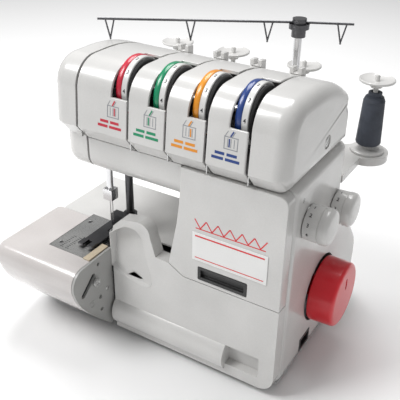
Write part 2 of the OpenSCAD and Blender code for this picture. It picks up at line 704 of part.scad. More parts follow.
module spool_pins() color(white) {
    for (i = [0:3]) translate([pin_xy[i][0], pin_xy[i][1], 0]) {
        translate([0, 0, stand_h - stand_t]) cylinder(h = stand_t + pin_h, r = pin_r);
        difference() {
            union() {
                translate([0, 0, stand_h]) cylinder(h = 3, r = cap_r - 0.5);
                translate([0, 0, stand_h + 3]) cylinder(h = 5, r = 6);
            }
            translate([0, 0, stand_h - 1]) cylinder(h = 20, r = pin_r);
        }
        difference() {
            union() {
                translate([0, 0, stand_h + pin_h - 9]) cylinder(h = 3, r1 = cap_r - 6, r2 = cap_r);
                translate([0, 0, stand_h + pin_h - 6]) cylinder(h = 2, r = cap_r);
                translate([0, 0, stand_h + pin_h - 13]) cylinder(h = 5, r = 6);
            }
            translate([0, 0, stand_h + pin_h - 20]) cylinder(h = 30, r = pin_r);
        }
    }
}

module thread_spool() color("#3d4757") difference() {
    z = stand_h + 8.5;
    union() {
        translate([pin_xy[3][0], pin_xy[3][1], z]) cylinder(h = 4, r1 = 12, r2 = 13);
        translate([pin_xy[3][0], pin_xy[3][1], z + 4]) cylinder(h = 48, r1 = 13, r2 = 10.5);
        translate([pin_xy[3][0], pin_xy[3][1], z + 52]) cylinder(h = 4, r = 7);
    }
    translate([pin_xy[3][0], pin_xy[3][1], z - 1]) cylinder(h = 80, r = pin_r + 1.5);
}

// A length of tube about the mast axis.
module mast_pipe(z0, z1, r, bore) translate([mast_p[0], mast_p[1], 0]) difference() {
    translate([0, 0, z0]) cylinder(h = z1 - z0, r = r);
    translate([0, 0, z0 - 1]) cylinder(h = z1 - z0 + 2, r = bore);
}

module mast_tube() color(steel) mast_pipe(mast_foot_z + 3, mast_tube_top, mast_r, mast_mid_r + running_gap);

module mast_middle() color(steel)
    mast_pipe(mast_foot_z + 4, mast_tube_top + 3, mast_mid_r, mast_top_r + running_gap);

module mast_top() color(steel) mast_pipe(mast_foot_z + 5, wire_h - 6, mast_top_r, 2);

module thread_guide() {
    color(white) translate([mast_p[0], mast_p[1], 0]) difference() {
        union() {
            translate([0, 0, wire_h - 14]) cylinder(h = 9, r = 7);
            translate([0, 0, wire_h - 6]) cylinder(h = 5, r = 10);
            translate([0, 0, wire_h - 2]) cylinder(h = 6, r = 7);
        }
        translate([0, 0, wire_h - 20]) cylinder(h = 15, r = mast_top_r + running_gap);
    }
    hub = [mast_p[0], mast_p[1], wire_h];
    hook_drop = 20;
    color("dimgray") for (tip = [[-247, 73, wire_h], [-31, 196, wire_h]]) rod(hub, tip, 1.2);
    color("dimgray") for (p = [[-237, 79.2], [-169, 119.4], [-104, 157.9], [-41, 191.1]]) {
        rod([p[0] - 4, p[1] - 2, wire_h], [p[0] + 0.3, p[1], wire_h - hook_drop], 0.8);
        rod([p[0] + 4, p[1] + 2, wire_h], [p[0] - 0.3, p[1], wire_h - hook_drop], 0.8);
    }
}

place() base_tray();
place() rubber_feet();
place() machine_frame();
place() bed_housing();
place() column_housing();
place() upper_front_panel();
place() label_plate();
place() looper_window();
place() front_cover();
place() hinge_pins();
place() cloth_plate_cover();
place() end_plate();
place() end_plate_screws();
place() width_lever();
place() needle_plate();
place() seam_guard();
place() head_rear_cover();
place() left_head_cap();
place() right_head_shoulder();
place() tension_panel(0);  // tension_panel_1
place() tension_panel(1);  // tension_panel_2
place() tension_panel(2);  // tension_panel_3
place() tension_panel(3);  // tension_panel_4
place() tension_dial(0, "crimson");  // tension_dial_1
place() tension_dial(1, "seagreen");  // tension_dial_2
place() tension_dial(2, "orange");  // tension_dial_3
place() tension_dial(3, "navy");  // tension_dial_4
place() dial_spindle();
place() tension_discs();
place() thread_slot_guides();
place() rear_thread_clips();
place() needle_bar();
place() needles();
place() presser_bar();
place() presser_foot();
place() presser_lifter();
place() upper_knife();
place() lower_knife();
place() upper_looper();
place() lower_looper();
place() feed_dogs();
place() column_peg();
place() main_shaft();
place() shaft_bearings();
place() shaft_pulley();
place() handwheel();
place() motor();
place() motor_pulley();
place() drive_belt();
place() stitch_length_knob();
place() differential_knob();
place() power_inlet();
place() power_switch();
place() spool_stand();
place() spool_pins();
place() thread_spool();
place() mast_tube();
place() mast_middle();
place() mast_top();
place() thread_guide();
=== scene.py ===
import json
import math

import bpy
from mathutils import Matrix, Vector

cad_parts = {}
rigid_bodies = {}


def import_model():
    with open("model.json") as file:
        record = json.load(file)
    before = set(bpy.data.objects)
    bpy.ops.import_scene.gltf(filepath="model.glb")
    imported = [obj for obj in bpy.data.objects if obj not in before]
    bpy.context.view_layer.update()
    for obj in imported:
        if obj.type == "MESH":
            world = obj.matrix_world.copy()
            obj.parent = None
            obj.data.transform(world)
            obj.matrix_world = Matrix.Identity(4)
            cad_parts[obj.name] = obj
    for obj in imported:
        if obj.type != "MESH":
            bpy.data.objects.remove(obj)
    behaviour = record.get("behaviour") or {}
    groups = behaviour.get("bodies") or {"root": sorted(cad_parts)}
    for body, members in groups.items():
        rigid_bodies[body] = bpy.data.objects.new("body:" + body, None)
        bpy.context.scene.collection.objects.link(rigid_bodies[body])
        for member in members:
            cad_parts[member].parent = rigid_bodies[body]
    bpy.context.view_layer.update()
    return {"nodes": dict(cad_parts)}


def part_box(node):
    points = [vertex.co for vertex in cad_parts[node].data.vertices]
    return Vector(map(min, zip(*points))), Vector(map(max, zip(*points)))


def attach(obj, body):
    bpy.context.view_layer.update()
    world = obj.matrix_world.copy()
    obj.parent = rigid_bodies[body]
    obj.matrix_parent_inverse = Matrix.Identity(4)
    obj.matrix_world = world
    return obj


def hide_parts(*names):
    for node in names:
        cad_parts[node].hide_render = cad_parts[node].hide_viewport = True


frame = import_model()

# ---------------------------------------------------------------------------
# Camera, floor and soft studio light.
# The machine stands on a pale sweep, lit from above left by broad soft boxes.
bpy.ops.object.select_all(action="DESELECT")
bpy.ops.object.camera_add(location=(0.3111, -0.5075, 0.4814),
                          rotation=(math.radians(60.1), math.radians(0.0), math.radians(31.2)))
camera = bpy.context.object
camera.rotation_euler.rotate_axis("Z", math.radians(0.9))
camera.data.lens = 59.6
camera.data.sensor_width = 36.0
camera.data.dof.use_dof = False
camera.data.clip_start = 0.01
bpy.context.scene.camera = camera
bpy.context.scene.view_settings.view_transform = "Standard"

bpy.ops.mesh.primitive_plane_add(size=12.0, location=(0.0, 0.0, 0.0))
floor = bpy.context.object
floor.name = "studio_floor"
floor_paint = bpy.data.materials.new("floor_paint")
floor_paint.use_nodes = True
floor_shader = floor_paint.node_tree.nodes["Principled BSDF"]
floor_shader.inputs["Base Color"].default_value = (0.93, 0.93, 0.93, 1.0)
floor_shader.inputs["Roughness"].default_value = 0.9
floor_shader.inputs["Specular IOR Level"].default_value = 0.1
floor.data.materials.append(floor_paint)

world = bpy.data.worlds.new("studio_air")
bpy.context.scene.world = world
world.use_nodes = True
world.node_tree.nodes["Background"].inputs["Color"].default_value = (1.0, 1.0, 1.0, 1.0)
world.node_tree.nodes["Background"].inputs["Strength"].default_value = 0.36


def soft_box(name, place, target, size, power):
    """A square area light at place, turned to face target."""
    bpy.ops.object.light_add(type="AREA", location=place)
    lamp = bpy.context.object
    lamp.name = name
    lamp.data.size = size
    lamp.data.energy = power
    aim = Vector(target) - Vector(place)
    lamp.rotation_euler = aim.to_track_quat("-Z", "Y").to_euler()
    return lamp


soft_box("key_box", (-0.75, -0.75, 1.35), (0.0, 0.0, 0.15), 0.7, 17.0)
soft_box("top_box", (-0.3, 0.55, 1.7), (0.0, 0.0, 0.2), 1.0, 21.0)
soft_box("side_box", (1.3, -0.3, 0.9), (0.1, 0.0, 0.15), 0.35, 0.3)


# ---------------------------------------------------------------------------
# White covers of the head, the column, the bed and the spool stand.
# Injection-moulded glossy plastic; every outer edge of a cover carries a
# small radius, and the covers are clipped and screwed to the die-cast frame.
def paint(name, low, high, rough, metal=0.0, grain=900.0, bump=0.03, coat=0.0,
          stretch=(1.0, 1.0, 1.0), spread=0.05, patch=18.0):
    """A finish of two close tones: fine grain and broad patches vary its tone, gloss and surface."""
    made = bpy.data.materials.new(name)
    made.use_nodes = True
    tree = made.node_tree
    shader = tree.nodes["Principled BSDF"]
    where = tree.nodes.new("ShaderNodeTexCoord")
    turn = tree.nodes.new("ShaderNodeMapping")
    turn.inputs["Scale"].default_value = stretch
    fine = tree.nodes.new("ShaderNodeTexNoise")
    fine.inputs["Scale"].default_value = grain
    fine.inputs["Detail"].default_value = 3.0
    broad = tree.nodes.new("ShaderNodeTexNoise")
    broad.inputs["Scale"].default_value = patch
    broad.inputs["Detail"].default_value = 2.0
    both = tree.nodes.new("ShaderNodeMath")
    both.operation = "MULTIPLY_ADD"
    both.inputs[1].default_value = 0.4
    tones = tree.nodes.new("ShaderNodeValToRGB")
    tones.color_ramp.elements[0].position = 0.45
    tones.color_ramp.elements[0].color = (*low, 1.0)
    tones.color_ramp.elements[1].position = 0.95
    tones.color_ramp.elements[1].color = (*high, 1.0)
    gloss = tree.nodes.new("ShaderNodeMapRange")
    gloss.inputs["To Min"].default_value = max(0.02, rough - spread)
    gloss.inputs["To Max"].default_value = rough + spread
    relief = tree.nodes.new("ShaderNodeBump")
    relief.inputs["Strength"].default_value = bump
    relief.inputs["Distance"].default_value = 0.0003
    link = tree.links.new
    link(where.outputs["Object"], turn.inputs["Vector"])
    link(turn.outputs["Vector"], fine.inputs["Vector"])
    link(where.outputs["Object"], broad.inputs["Vector"])
    link(fine.outputs["Fac"], both.inputs[0])
    link(broad.outputs["Fac"], both.inputs[2])
    link(both.outputs[0], tones.inputs["Fac"])
    link(tones.outputs["Color"], shader.inputs["Base Color"])
    link(fine.outputs["Fac"], gloss.inputs["Value"])
    link(gloss.outputs["Result"], shader.inputs["Roughness"])
    link(fine.outputs["Fac"], relief.inputs["Height"])
    link(relief.outputs["Normal"], shader.inputs["Normal"])
    shader.inputs["Metallic"].default_value = metal
    shader.inputs["Coat Weight"].default_value = coat
    shader.inputs["Coat Roughness"].default_value = 0.08
    return made


def finished(piece, material, body):
    """Gives a piece its finish and lets it ride on its body."""
    piece.data.materials.clear()
    piece.data.materials.append(material)
    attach(piece, body)
    return piece


def picked(*pieces):
    """Selects these pieces alone and makes the first one active."""
    bpy.ops.object.select_all(action="DESELECT")
    for piece in pieces:
        piece.select_set(True)
    bpy.context.view_layer.objects.active = pieces[0]
    return pieces[0]


def flat_shading(piece):
    """Smooth on the radii, flat on the flats."""
    picked(piece)
    bpy.ops.object.shade_smooth_by_angle(angle=math.radians(35.0))
    flats = piece.modifiers.new("flats", "WEIGHTED_NORMAL")
    flats.weight = 80
    flats.keep_sharp = True
    bpy.ops.object.modifier_apply(modifier=flats.name)


def rounded_cover(node, body, material, radius):
    """A copy of a cover with its flats joined up and its sharp edges rounded; it stands for the cover."""
    source = frame["nodes"][node]
    piece = bpy.data.objects.new(node + "_moulded", source.data.copy())
    bpy.context.scene.collection.objects.link(piece)
    picked(piece)
    bpy.ops.object.mode_set(mode="EDIT")
    bpy.ops.mesh.select_all(action="SELECT")
    bpy.ops.mesh.remove_doubles(threshold=0.00001)
    bpy.ops.mesh.dissolve_limited(angle_limit=math.radians(1.0))
    bpy.ops.object.mode_set(mode="OBJECT")
    edge = piece.modifiers.new("edge_radius", "BEVEL")
    edge.width = radius
    edge.segments = 3
    edge.limit_method = "ANGLE"
    edge.angle_limit = math.radians(30.0)
    edge.use_clamp_overlap = True
    edge.miter_outer = "MITER_ARC"
    bpy.ops.object.modifier_apply(modifier=edge.name)
    flat_shading(piece)
    finished(piece, material, body)
    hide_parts(node)
    return piece


MM = 0.001
right_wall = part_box("column_housing")[1].x
front_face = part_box("upper_front_panel")[0].y


def drawn(x, y, z):
    """A point given in millimetres from the right wall, the front face and the table."""
    return Vector((right_wall + x * MM, front_face + y * MM, z * MM))


def turned(name, centre, profile, steps=64, axis="X", close=False):
    """A body of revolution about an axis through centre; profile is (along, radius) pairs in millimetres."""
    centre = Vector(centre)
    along = Vector((1.0, 0.0, 0.0)) if axis == "X" else Vector((0.0, 0.0, 1.0))
    out = Vector((0.0, 0.0, 1.0)) if axis == "X" else Vector((1.0, 0.0, 0.0))
    points = [centre + along * a * MM + out * r * MM for a, r in profile]
    bpy.ops.object.select_all(action="DESELECT")
    bpy.ops.mesh.primitive_plane_add(size=0.001, location=points[0])
    piece = bpy.context.object
    piece.name = name
    bpy.ops.object.transform_apply(location=True, rotation=True, scale=True)
    bpy.ops.object.mode_set(mode="EDIT")
    bpy.ops.mesh.select_mode(type="VERT")
    bpy.ops.mesh.select_all(action="SELECT")
    bpy.ops.mesh.merge(type="CENTER")
    for before, after in zip(points, points[1:]):
        bpy.ops.mesh.extrude_region_move(TRANSFORM_OT_translate={"value": after - before})
    if close:
        bpy.ops.mesh.extrude_region_move(TRANSFORM_OT_translate={"value": points[0] - points[-1]})
    bpy.ops.mesh.select_all(action="SELECT")
    bpy.ops.mesh.remove_doubles(threshold=0.000001)
    bpy.ops.mesh.spin(steps=steps, angle=2.0 * math.pi, center=centre, axis=along)
    bpy.ops.mesh.select_all(action="SELECT")
    bpy.ops.mesh.remove_doubles(threshold=0.000002)
    bpy.ops.mesh.normals_make_consistent(inside=False)
    bpy.ops.object.mode_set(mode="OBJECT")
    bpy.ops.object.shade_smooth_by_angle(angle=math.radians(35.0))
    return piece


def traced(name, points):
    """A flat face with this outline, drawn corner by corner from one point."""
    bpy.ops.object.select_all(action="DESELECT")
    bpy.ops.mesh.primitive_plane_add(size=0.001, location=points[0])
    piece = bpy.context.object
    piece.name = name
    bpy.ops.object.transform_apply(location=True, rotation=True, scale=True)
    bpy.ops.object.mode_set(mode="EDIT")
    bpy.ops.mesh.select_mode(type="VERT")
    bpy.ops.mesh.select_all(action="SELECT")
    bpy.ops.mesh.merge(type="CENTER")
    for before, after in zip(points, points[1:]):
        bpy.ops.mesh.extrude_region_move(TRANSFORM_OT_translate={"value": after - before})
    bpy.ops.mesh.select_all(action="SELECT")
    bpy.ops.mesh.edge_face_add()
    return piece


def pick_faces(piece, chosen):
    """Selects the faces that chosen(face) is true for, and nothing else, in edit mode."""
    bpy.ops.object.mode_set(mode="EDIT")
    bpy.ops.mesh.select_mode(type="FACE")
    bpy.ops.mesh.select_all(action="DESELECT")
    bpy.ops.object.mode_set(mode="OBJECT")
    for face in piece.data.polygons:
        face.select = chosen(face)
    bpy.ops.object.mode_set(mode="EDIT")


def pick_edges(piece, chosen):
    """Selects the edges whose two ends satisfy chosen(a, b), and nothing else, in edit mode."""
    bpy.ops.object.mode_set(mode="EDIT")
    bpy.ops.mesh.select_mode(type="EDGE")
    bpy.ops.mesh.select_all(action="DESELECT")
    bpy.ops.object.mode_set(mode="OBJECT")
    corners = piece.data.vertices
    for edge in piece.data.edges:
        edge.select = chosen(corners[edge.vertices[0]].co, corners[edge.vertices[1]].co)
    bpy.ops.object.mode_set(mode="EDIT")


def moulding(name, outline, x0, x1, low_radius=0.0, high_radius=0.0, wall=2.5,
             open_ends=(False, False), steps=8):
    """A hollow bar along X with this (y, z) outline in millimetres; an end is rounded over, or left open."""
    piece = traced(name, [drawn(x0, y, z) for y, z in outline])
    bpy.ops.mesh.extrude_region_move(TRANSFORM_OT_translate={"value": Vector(((x1 - x0) * MM, 0.0, 0.0))})
    bpy.ops.mesh.select_all(action="SELECT")
    bpy.ops.mesh.normals_make_consistent(inside=False)
    for x, radius in ((x0, low_radius), (x1, high_radius)):
        if radius > 0.0:
            plane = drawn(x, 0.0, 0.0).x
            pick_edges(piece, lambda a, b: abs(a.x - plane) < 1e-6 and abs(b.x - plane) < 1e-6)
            bpy.ops.mesh.bevel(offset=radius * MM, segments=steps, profile=0.5, affect="EDGES",
                               clamp_overlap=False)
    for x, is_open in ((x0, open_ends[0]), (x1, open_ends[1])):
        if is_open:
            plane = drawn(x, 0.0, 0.0).x
            pick_faces(piece, lambda face: abs(face.center.x - plane) < 1e-6 and abs(face.normal.x) > 0.99)
            bpy.ops.mesh.delete(type="FACE")
    bpy.ops.object.mode_set(mode="OBJECT")
    if wall > 0.0:
        shell = piece.modifiers.new("shell", "SOLIDIFY")
        shell.thickness = wall * MM
        shell.offset = -1.0
        bpy.ops.object.modifier_apply(modifier=shell.name)
    return piece


def cutter_block(low, high, radius=0.0):
    """A block between two corners in millimetres, for cutting an opening."""
    a, b = drawn(*low), drawn(*high)
    bpy.ops.object.select_all(action="DESELECT")
    bpy.ops.mesh.primitive_cube_add(size=1.0, location=(a + b) / 2.0)
    tool = bpy.context.object
    tool.scale = b - a
    bpy.ops.object.transform_apply(location=True, rotation=True, scale=True)
    if radius > 0.0:
        soft = tool.modifiers.new("soft", "BEVEL")
        soft.width = radius * MM
        soft.segments = 5
        bpy.ops.object.modifier_apply(modifier=soft.name)
    return tool


def cutter_bore(x0, x1, y, z, radius, steps=48):
    """A round bar along X, for cutting a bore."""
    bpy.ops.object.select_all(action="DESELECT")
    bpy.ops.mesh.primitive_cylinder_add(radius=radius * MM, depth=(x1 - x0) * MM, vertices=steps,
                                        location=drawn((x0 + x1) / 2.0, y, z),
                                        rotation=(0.0, math.pi / 2.0, 0.0))
    bpy.ops.object.transform_apply(location=True, rotation=True, scale=True)
    return bpy.context.object


def cut(piece, *tools):
    """Cuts the tools out of the piece, one after the other."""
    for tool in tools:
        picked(piece)
        opening = piece.modifiers.new("opening", "BOOLEAN")
        opening.operation = "DIFFERENCE"
        opening.solver = "EXACT"
        opening.object = tool
        bpy.ops.object.modifier_apply(modifier=opening.name)
        bpy.data.objects.remove(tool)


def bend_of(cy, cz, radius, start, end, steps):
    """Points of an arc about (cy, cz), from start to end degrees."""
    turns = [math.radians(start + (end - start) * k / steps) for k in range(steps + 1)]
    return [(cy + radius * math.cos(turn), cz + radius * math.sin(turn)) for turn in turns]


white_plastic = paint("white_plastic", (0.555, 0.550, 0.538), (0.645, 0.638, 0.625), 0.24, coat=0.35)
for cover in ("head_rear_cover", "bed_housing", "tension_panel_1", "tension_panel_2", "tension_panel_3",
              "tension_panel_4"):
    rounded_cover(cover, "machine", white_plastic, 0.0012)

crown = (bend_of(112.0, 250.0, 18.0, 0.0, 44.0, 6) + bend_of(42.0, 148.0, 150.0, 56.0, 90.0, 12)
         + bend_of(22.0, 270.0, 28.0, 96.0, 182.0, 14) + [(-9.0, 237.0)])
jaw = bend_of(21.0, 203.0, 17.0, 180.0, 270.0, 8) + bend_of(112.0, 204.0, 18.0, 270.0, 360.0, 8)
left_end = moulding("left_head_cap_moulded", jaw + crown + [(4.0, 222.0)], -240.0, -211.1, low_radius=14.0,
                    open_ends=(False, True))
cut(left_end, cutter_block((-219.0, 12.0, 180.0), (-200.0, 58.0, 198.0), 2.0))
flat_shading(left_end)
finished(left_end, white_plastic, "machine")
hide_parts("left_head_cap")

shoulder = moulding("right_head_shoulder_moulded", [(4.0, 222.0), (130.0, 222.0)] + crown, -33.6, 0.0,
                    high_radius=14.0, open_ends=(True, False))
cut(shoulder, cutter_bore(-1.2, 5.0, 73.0, 243.0, 6.5))
flat_shading(shoulder)
finished(shoulder, white_plastic, "machine")
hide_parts("right_head_shoulder")

column_side = ([(14.5, 8.0)] + bend_of(198.0, 18.0, 10.0, 270.0, 360.0, 6) + bend_of(168.0, 60.0, 40.0, 0.0, 40.0, 8)
               + [(135.0, 162.0), (130.0, 172.0), (130.0, 221.0), (14.5, 221.0)])
column = moulding("column_moulded", column_side, -105.0, 0.0, high_radius=8.5)
cut(column, cutter_block((-98.0, 10.0, 20.0), (-8.0, 19.0, 213.0)),
    cutter_block((-106.0, 10.0, 20.0), (-97.0, 34.0, 99.0)))
for hole_y, hole_z, hole_radius, hole_steps in (
        (98.0, 73.0, 36.0, 72), (47.0, 177.0, 15.0, 48), (115.0, 160.0, 15.0, 48), (118.0, 24.0, 6.1, 48)):
    cut(column, cutter_bore(-12.0, 10.0, hole_y, hole_z, hole_radius, hole_steps))
cut(column, cutter_block((-30.0, 60.0, 14.0), (5.0, 84.0, 30.0)))
vents, vent_pitch, vent_wide, first_vent = 7, 11.0, 5.0, -84.0
for row in range(vents):
    vent_x = first_vent + vent_pitch * row
    cut(column, cutter_block((vent_x, 150.0, 95.0), (vent_x + vent_wide, 215.0, 130.0), 0.8))
flat_shading(column)
finished(column, white_plastic, "machine")
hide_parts("column_housing")
front_panel = rounded_cover("upper_front_panel", "machine", white_plastic, 0.0012)
front_moulding = rounded_cover("front_cover", "front_cover_body", white_plastic, 0.0012)
scoop_edge = [
    (-187.0, 86.0), (-176.0, 81.0), (-164.0, 76.5), (-153.0, 74.0), (-143.5, 73.5), (-138.5, 76.0), (-137.0, 82.0),
    (-138.5, 92.0), (-141.5, 104.0), (-144.5, 116.0), (-146.5, 127.0), (-149.5, 134.0), (-154.5, 138.5),
    (-161.0, 139.5), (-168.0, 138.5), (-178.0, 132.0), (-187.0, 124.5)]
scoop_middle = (-162.0, 106.0)
scoop_low, scoop_rise = 74.0, 34.0
scoop_depth = 9.5
proud, draft = 0.2, 0.06
scoop_front = drawn(0.0, -proud, 0.0).y


def recess(name, grow):
    """The scoop's inside: full depth at its top, running out at its bottom edge."""
    middle_x, middle_z = scoop_middle
    rim_line = [(middle_x + (x - middle_x) * grow, middle_z + (z - middle_z) * grow) for x, z in scoop_edge]
    piece = traced(name, [drawn(x, -proud, z) for x, z in rim_line])
    bpy.ops.mesh.extrude_region_move(TRANSFORM_OT_translate={"value": Vector((0.0, scoop_depth * MM, 0.0))})
    bpy.ops.object.mode_set(mode="OBJECT")
    back = drawn(0.0, scoop_depth - proud, 0.0).y
    for corner in piece.data.vertices:
        if abs(corner.co.y - back) < 1e-6:
            share = min(1.0, max(0.0, (corner.co.z / MM - scoop_low) / scoop_rise))
            deep = 0.6 + (scoop_depth - 0.8) * math.sin(share * math.pi / 2.0)
            corner.co.y = drawn(0.0, deep, 0.0).y
            corner.co.x += (drawn(middle_x, 0.0, 0.0).x - corner.co.x) * draft
            corner.co.z += (middle_z * MM - corner.co.z) * draft
    return piece


cut(front_moulding, recess("scoop_tool", 1.0))
flat_shading(front_moulding)
scoop = recess("front_cover_scoop", 0.998)
pick_faces(scoop, lambda face: abs(face.center.y - scoop_front) < 1e-6 and abs(face.normal.y) > 0.9)
bpy.ops.mesh.delete(type="FACE")
bpy.ops.mesh.select_all(action="SELECT")
bpy.ops.mesh.normals_make_consistent(inside=True)
bpy.ops.object.mode_set(mode="OBJECT")
for corner in scoop.data.vertices:
    if abs(corner.co.y - scoop_front) < 1e-6:
        corner.co.y += 0.0007
shell = scoop.modifiers.new("shell", "SOLIDIFY")
shell.thickness = 0.0012
shell.offset = -1.0
bpy.ops.object.modifier_apply(modifier=shell.name)
bpy.ops.object.shade_smooth_by_angle(angle=math.radians(50.0))
finished(scoop, white_plastic, "front_cover_body")
rounded_cover("spool_stand", "machine", white_plastic, 0.0015)
rounded_cover("column_peg", "machine", white_plastic, 0.0012)
rounded_cover("rear_thread_clips", "machine", white_plastic, 0.0006)


# ---------------------------------------------------------------------------
# Cloth plate cover of the free arm.
# One warm white moulding that swings out on its hinge pin at the rear left.
cloth_plate_plastic = paint("cloth_plate_plastic", (0.52, 0.490, 0.478), (0.60, 0.572, 0.560), 0.20, coat=0.4)
arm_nose = bend_of(-40.0, 88.0, 17.0, 90.0, 200.0, 16)
arm_belly = [(-53.9, 75.0), (-50.6, 67.5), (-46.0, 59.5), (-40.0, 51.0), (-33.0, 42.5), (-25.0, 33.5),
             (-16.0, 24.0), (-5.5, 13.2)]
free_arm = moulding("cloth_plate_moulded", [(38.0, 13.0), (38.0, 105.0)] + arm_nose + arm_belly, -300.0, -191.1,
                    low_radius=16.0, open_ends=(False, True))
cut(free_arm, cutter_block((-292.0, 5.0, 0.0), (-180.0, 50.0, 102.4)),
    cutter_block((-292.0, -3.0, 0.0), (-180.0, 50.0, 22.0)),
    cutter_block((-245.5, -26.5, 97.0), (-180.0, 50.0, 110.0)))
flat_shading(free_arm)
finished(free_arm, cloth_plate_plastic, "cloth_plate_body")
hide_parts("cloth_plate_cover")
for level in (22.0, 78.0):
    lug_profile = [(0.0, 2.05), (0.0, 3.8), (0.4, 4.2), (9.6, 4.2), (10.0, 3.8), (10.0, 2.05)]
    lug = turned(f"cloth_plate_lug_{int(level)}", drawn(-286.0, 36.5, 0.0),
                 [(level + up, radius) for up, radius in lug_profile], steps=32, axis="Z", close=True)
    finished(lug, cloth_plate_plastic, "cloth_plate_body")


# ---------------------------------------------------------------------------
# Base tray and feet.
# A grey tray closes the machine underneath; four rubber feet are pressed into it.
tray_plastic = paint("tray_plastic", (0.42, 0.42, 0.42), (0.50, 0.50, 0.50), 0.5, bump=0.15, grain=1600.0)
rounded_cover("base_tray", "machine", tray_plastic, 0.0008)
foot_rubber = paint("foot_rubber", (0.020, 0.020, 0.020), (0.045, 0.045, 0.045), 0.75, bump=0.25,
                    grain=1300.0)
rounded_cover("rubber_feet", "machine", foot_rubber, 0.0012)


# ---------------------------------------------------------------------------
# End plate of the bed with its screws and the stitch width lever.
# A satin painted plate held by plated screws; the lever's round head stands out beside its slot. A black sheet behind
# the slot is painted shade for the dark inside.
plate_enamel = paint("plate_enamel", (0.33, 0.33, 0.32), (0.41, 0.41, 0.40), 0.36, bump=0.12, grain=1500.0,
                     coat=0.15)
plated_steel = paint("plated_steel", (0.42, 0.42, 0.42), (0.62, 0.62, 0.61), 0.27, metal=1.0, grain=700.0,
                     stretch=(1.0, 1.0, 6.0), spread=0.08)
# Black for printed marks; the same black also paints the shade behind the lever slot.
print_ink_and_shade = paint("print_ink_and_shade", (0.010, 0.010, 0.012), (0.025, 0.025, 0.028), 0.5)


def bar(name, outline, x0, x1):
    """A solid plate along X with this (y, z) outline in millimetres."""
    return moulding(name, outline, x0, x1, wall=0.0)


def softened(piece, radius):
    """Two-step edge radius on every sharp edge of a piece."""
    picked(piece)
    rim = piece.modifiers.new("edge_radius", "BEVEL")
    rim.width = radius
    rim.segments = 2
    rim.limit_method = "ANGLE"
    rim.angle_limit = math.radians(40.0)
    bpy.ops.object.modifier_apply(modifier=rim.name)
    flat_shading(piece)


def slot_outline(y0, z0, y1, z1, radius, steps=8):
    """The outline of a round-ended slot between two centres."""
    lean = math.degrees(math.atan2(z1 - z0, y1 - y0))
    return (bend_of(y0, z0, radius, lean + 90.0, lean + 270.0, steps)
            + bend_of(y1, z1, radius, lean - 90.0, lean + 90.0, steps))


lever_slot = (-27.5, 88.5, -43.5, 74.5)
emblem_y, emblem_z = -32.2, 56.2
screw_places = ((-19.1, 57.5, 20.0), (-18.4, 41.4, 110.0))
plate = bar("end_plate_pressed", [(2.0, 13.0), (2.0, 106.0)] + arm_nose + arm_belly, -190.5, -188.0)
cut(plate, bar("slot_tool", slot_outline(*lever_slot, 3.0), -192.0, -186.0),
    cutter_bore(-192.0, -186.0, -19.3, 97.9, 1.9, 24))
for screw_y, screw_z, screw_turn in screw_places:
    cut(plate, cutter_bore(-192.0, -186.0, screw_y, screw_z, 2.3, 24))
cut(plate, cutter_bore(-188.6, -186.0, emblem_y, emblem_z, 4.2, 32))
softened(plate, 0.0004)
finished(plate, plate_enamel, "machine")
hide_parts("end_plate")
boss = turned("end_plate_boss", drawn(-188.3, emblem_y, emblem_z), [
    (-0.3, 0.0), (-0.3, 4.1), (0.35, 4.1), (0.6, 3.8), (0.6, 3.2), (0.35, 2.9), (0.1, 2.8), (0.1, 0.8),
    (0.3, 0.5), (0.3, 0.0)], steps=32)
finished(boss, plate_enamel, "machine")
# A black sheet just behind the plate, wider than the lever slot: painted shade that stands for the dark inside seen
# through the slot.
slot_shade_sheet = bar("end_plate_slot_shade", slot_outline(*lever_slot, 4.5), -191.4, -190.6)
finished(slot_shade_sheet, print_ink_and_shade, "machine")


def screw(name, centre, radius, height, turn):
    """A domed steel screw head on a +X face, with a cut slot turned by this many degrees."""
    x, y, z = centre
    head = turned(name, drawn(x, y, z), [
        (-0.4, 0.0), (-0.4, radius * 0.9), (0.0, radius), (height * 0.45, radius), (height * 0.8, radius * 0.82),
        (height, radius * 0.5), (height, 0.0)], steps=28)
    lean = math.radians(turn)
    dy, dz = radius * 0.62 * math.cos(lean), radius * 0.62 * math.sin(lean)
    cut(head, bar("driver_tool", slot_outline(y - dy, z - dz, y + dy, z + dz, radius * 0.13, 3),
                  x + height * 0.4, x + height * 2.0))
    flat_shading(head)
    return finished(head, plated_steel, "machine")


first_screw = screw("end_plate_screw_1", (-188.0, -8.0, 62.0), 2.6, 1.0, 75.0)
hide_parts("end_plate_screws")
for screw_y, screw_z, screw_turn in screw_places:
    screw(f"end_plate_screw_{int(screw_z)}", (-190.2, screw_y, screw_z), 2.1, 1.2, screw_turn)
screw("head_side_screw", (-1.1, 73.0, 243.0), 4.4, 1.2, 35.0)
screw("column_side_screw", (-0.6, 32.0, 205.0), 2.6, 0.9, 60.0)
lever = turned("width_lever_pin", drawn(-191.0, -26.5, 81.5), [
    (0.0, 0.0), (0.0, 2.4), (4.6, 2.4), (4.6, 4.1), (5.0, 4.6), (7.0, 4.6), (7.6, 4.2), (7.6, 2.4), (6.9, 1.9),
    (6.9, 0.0)], steps=32)
finished(lever, plated_steel, "width_lever_body")
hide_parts("width_lever")


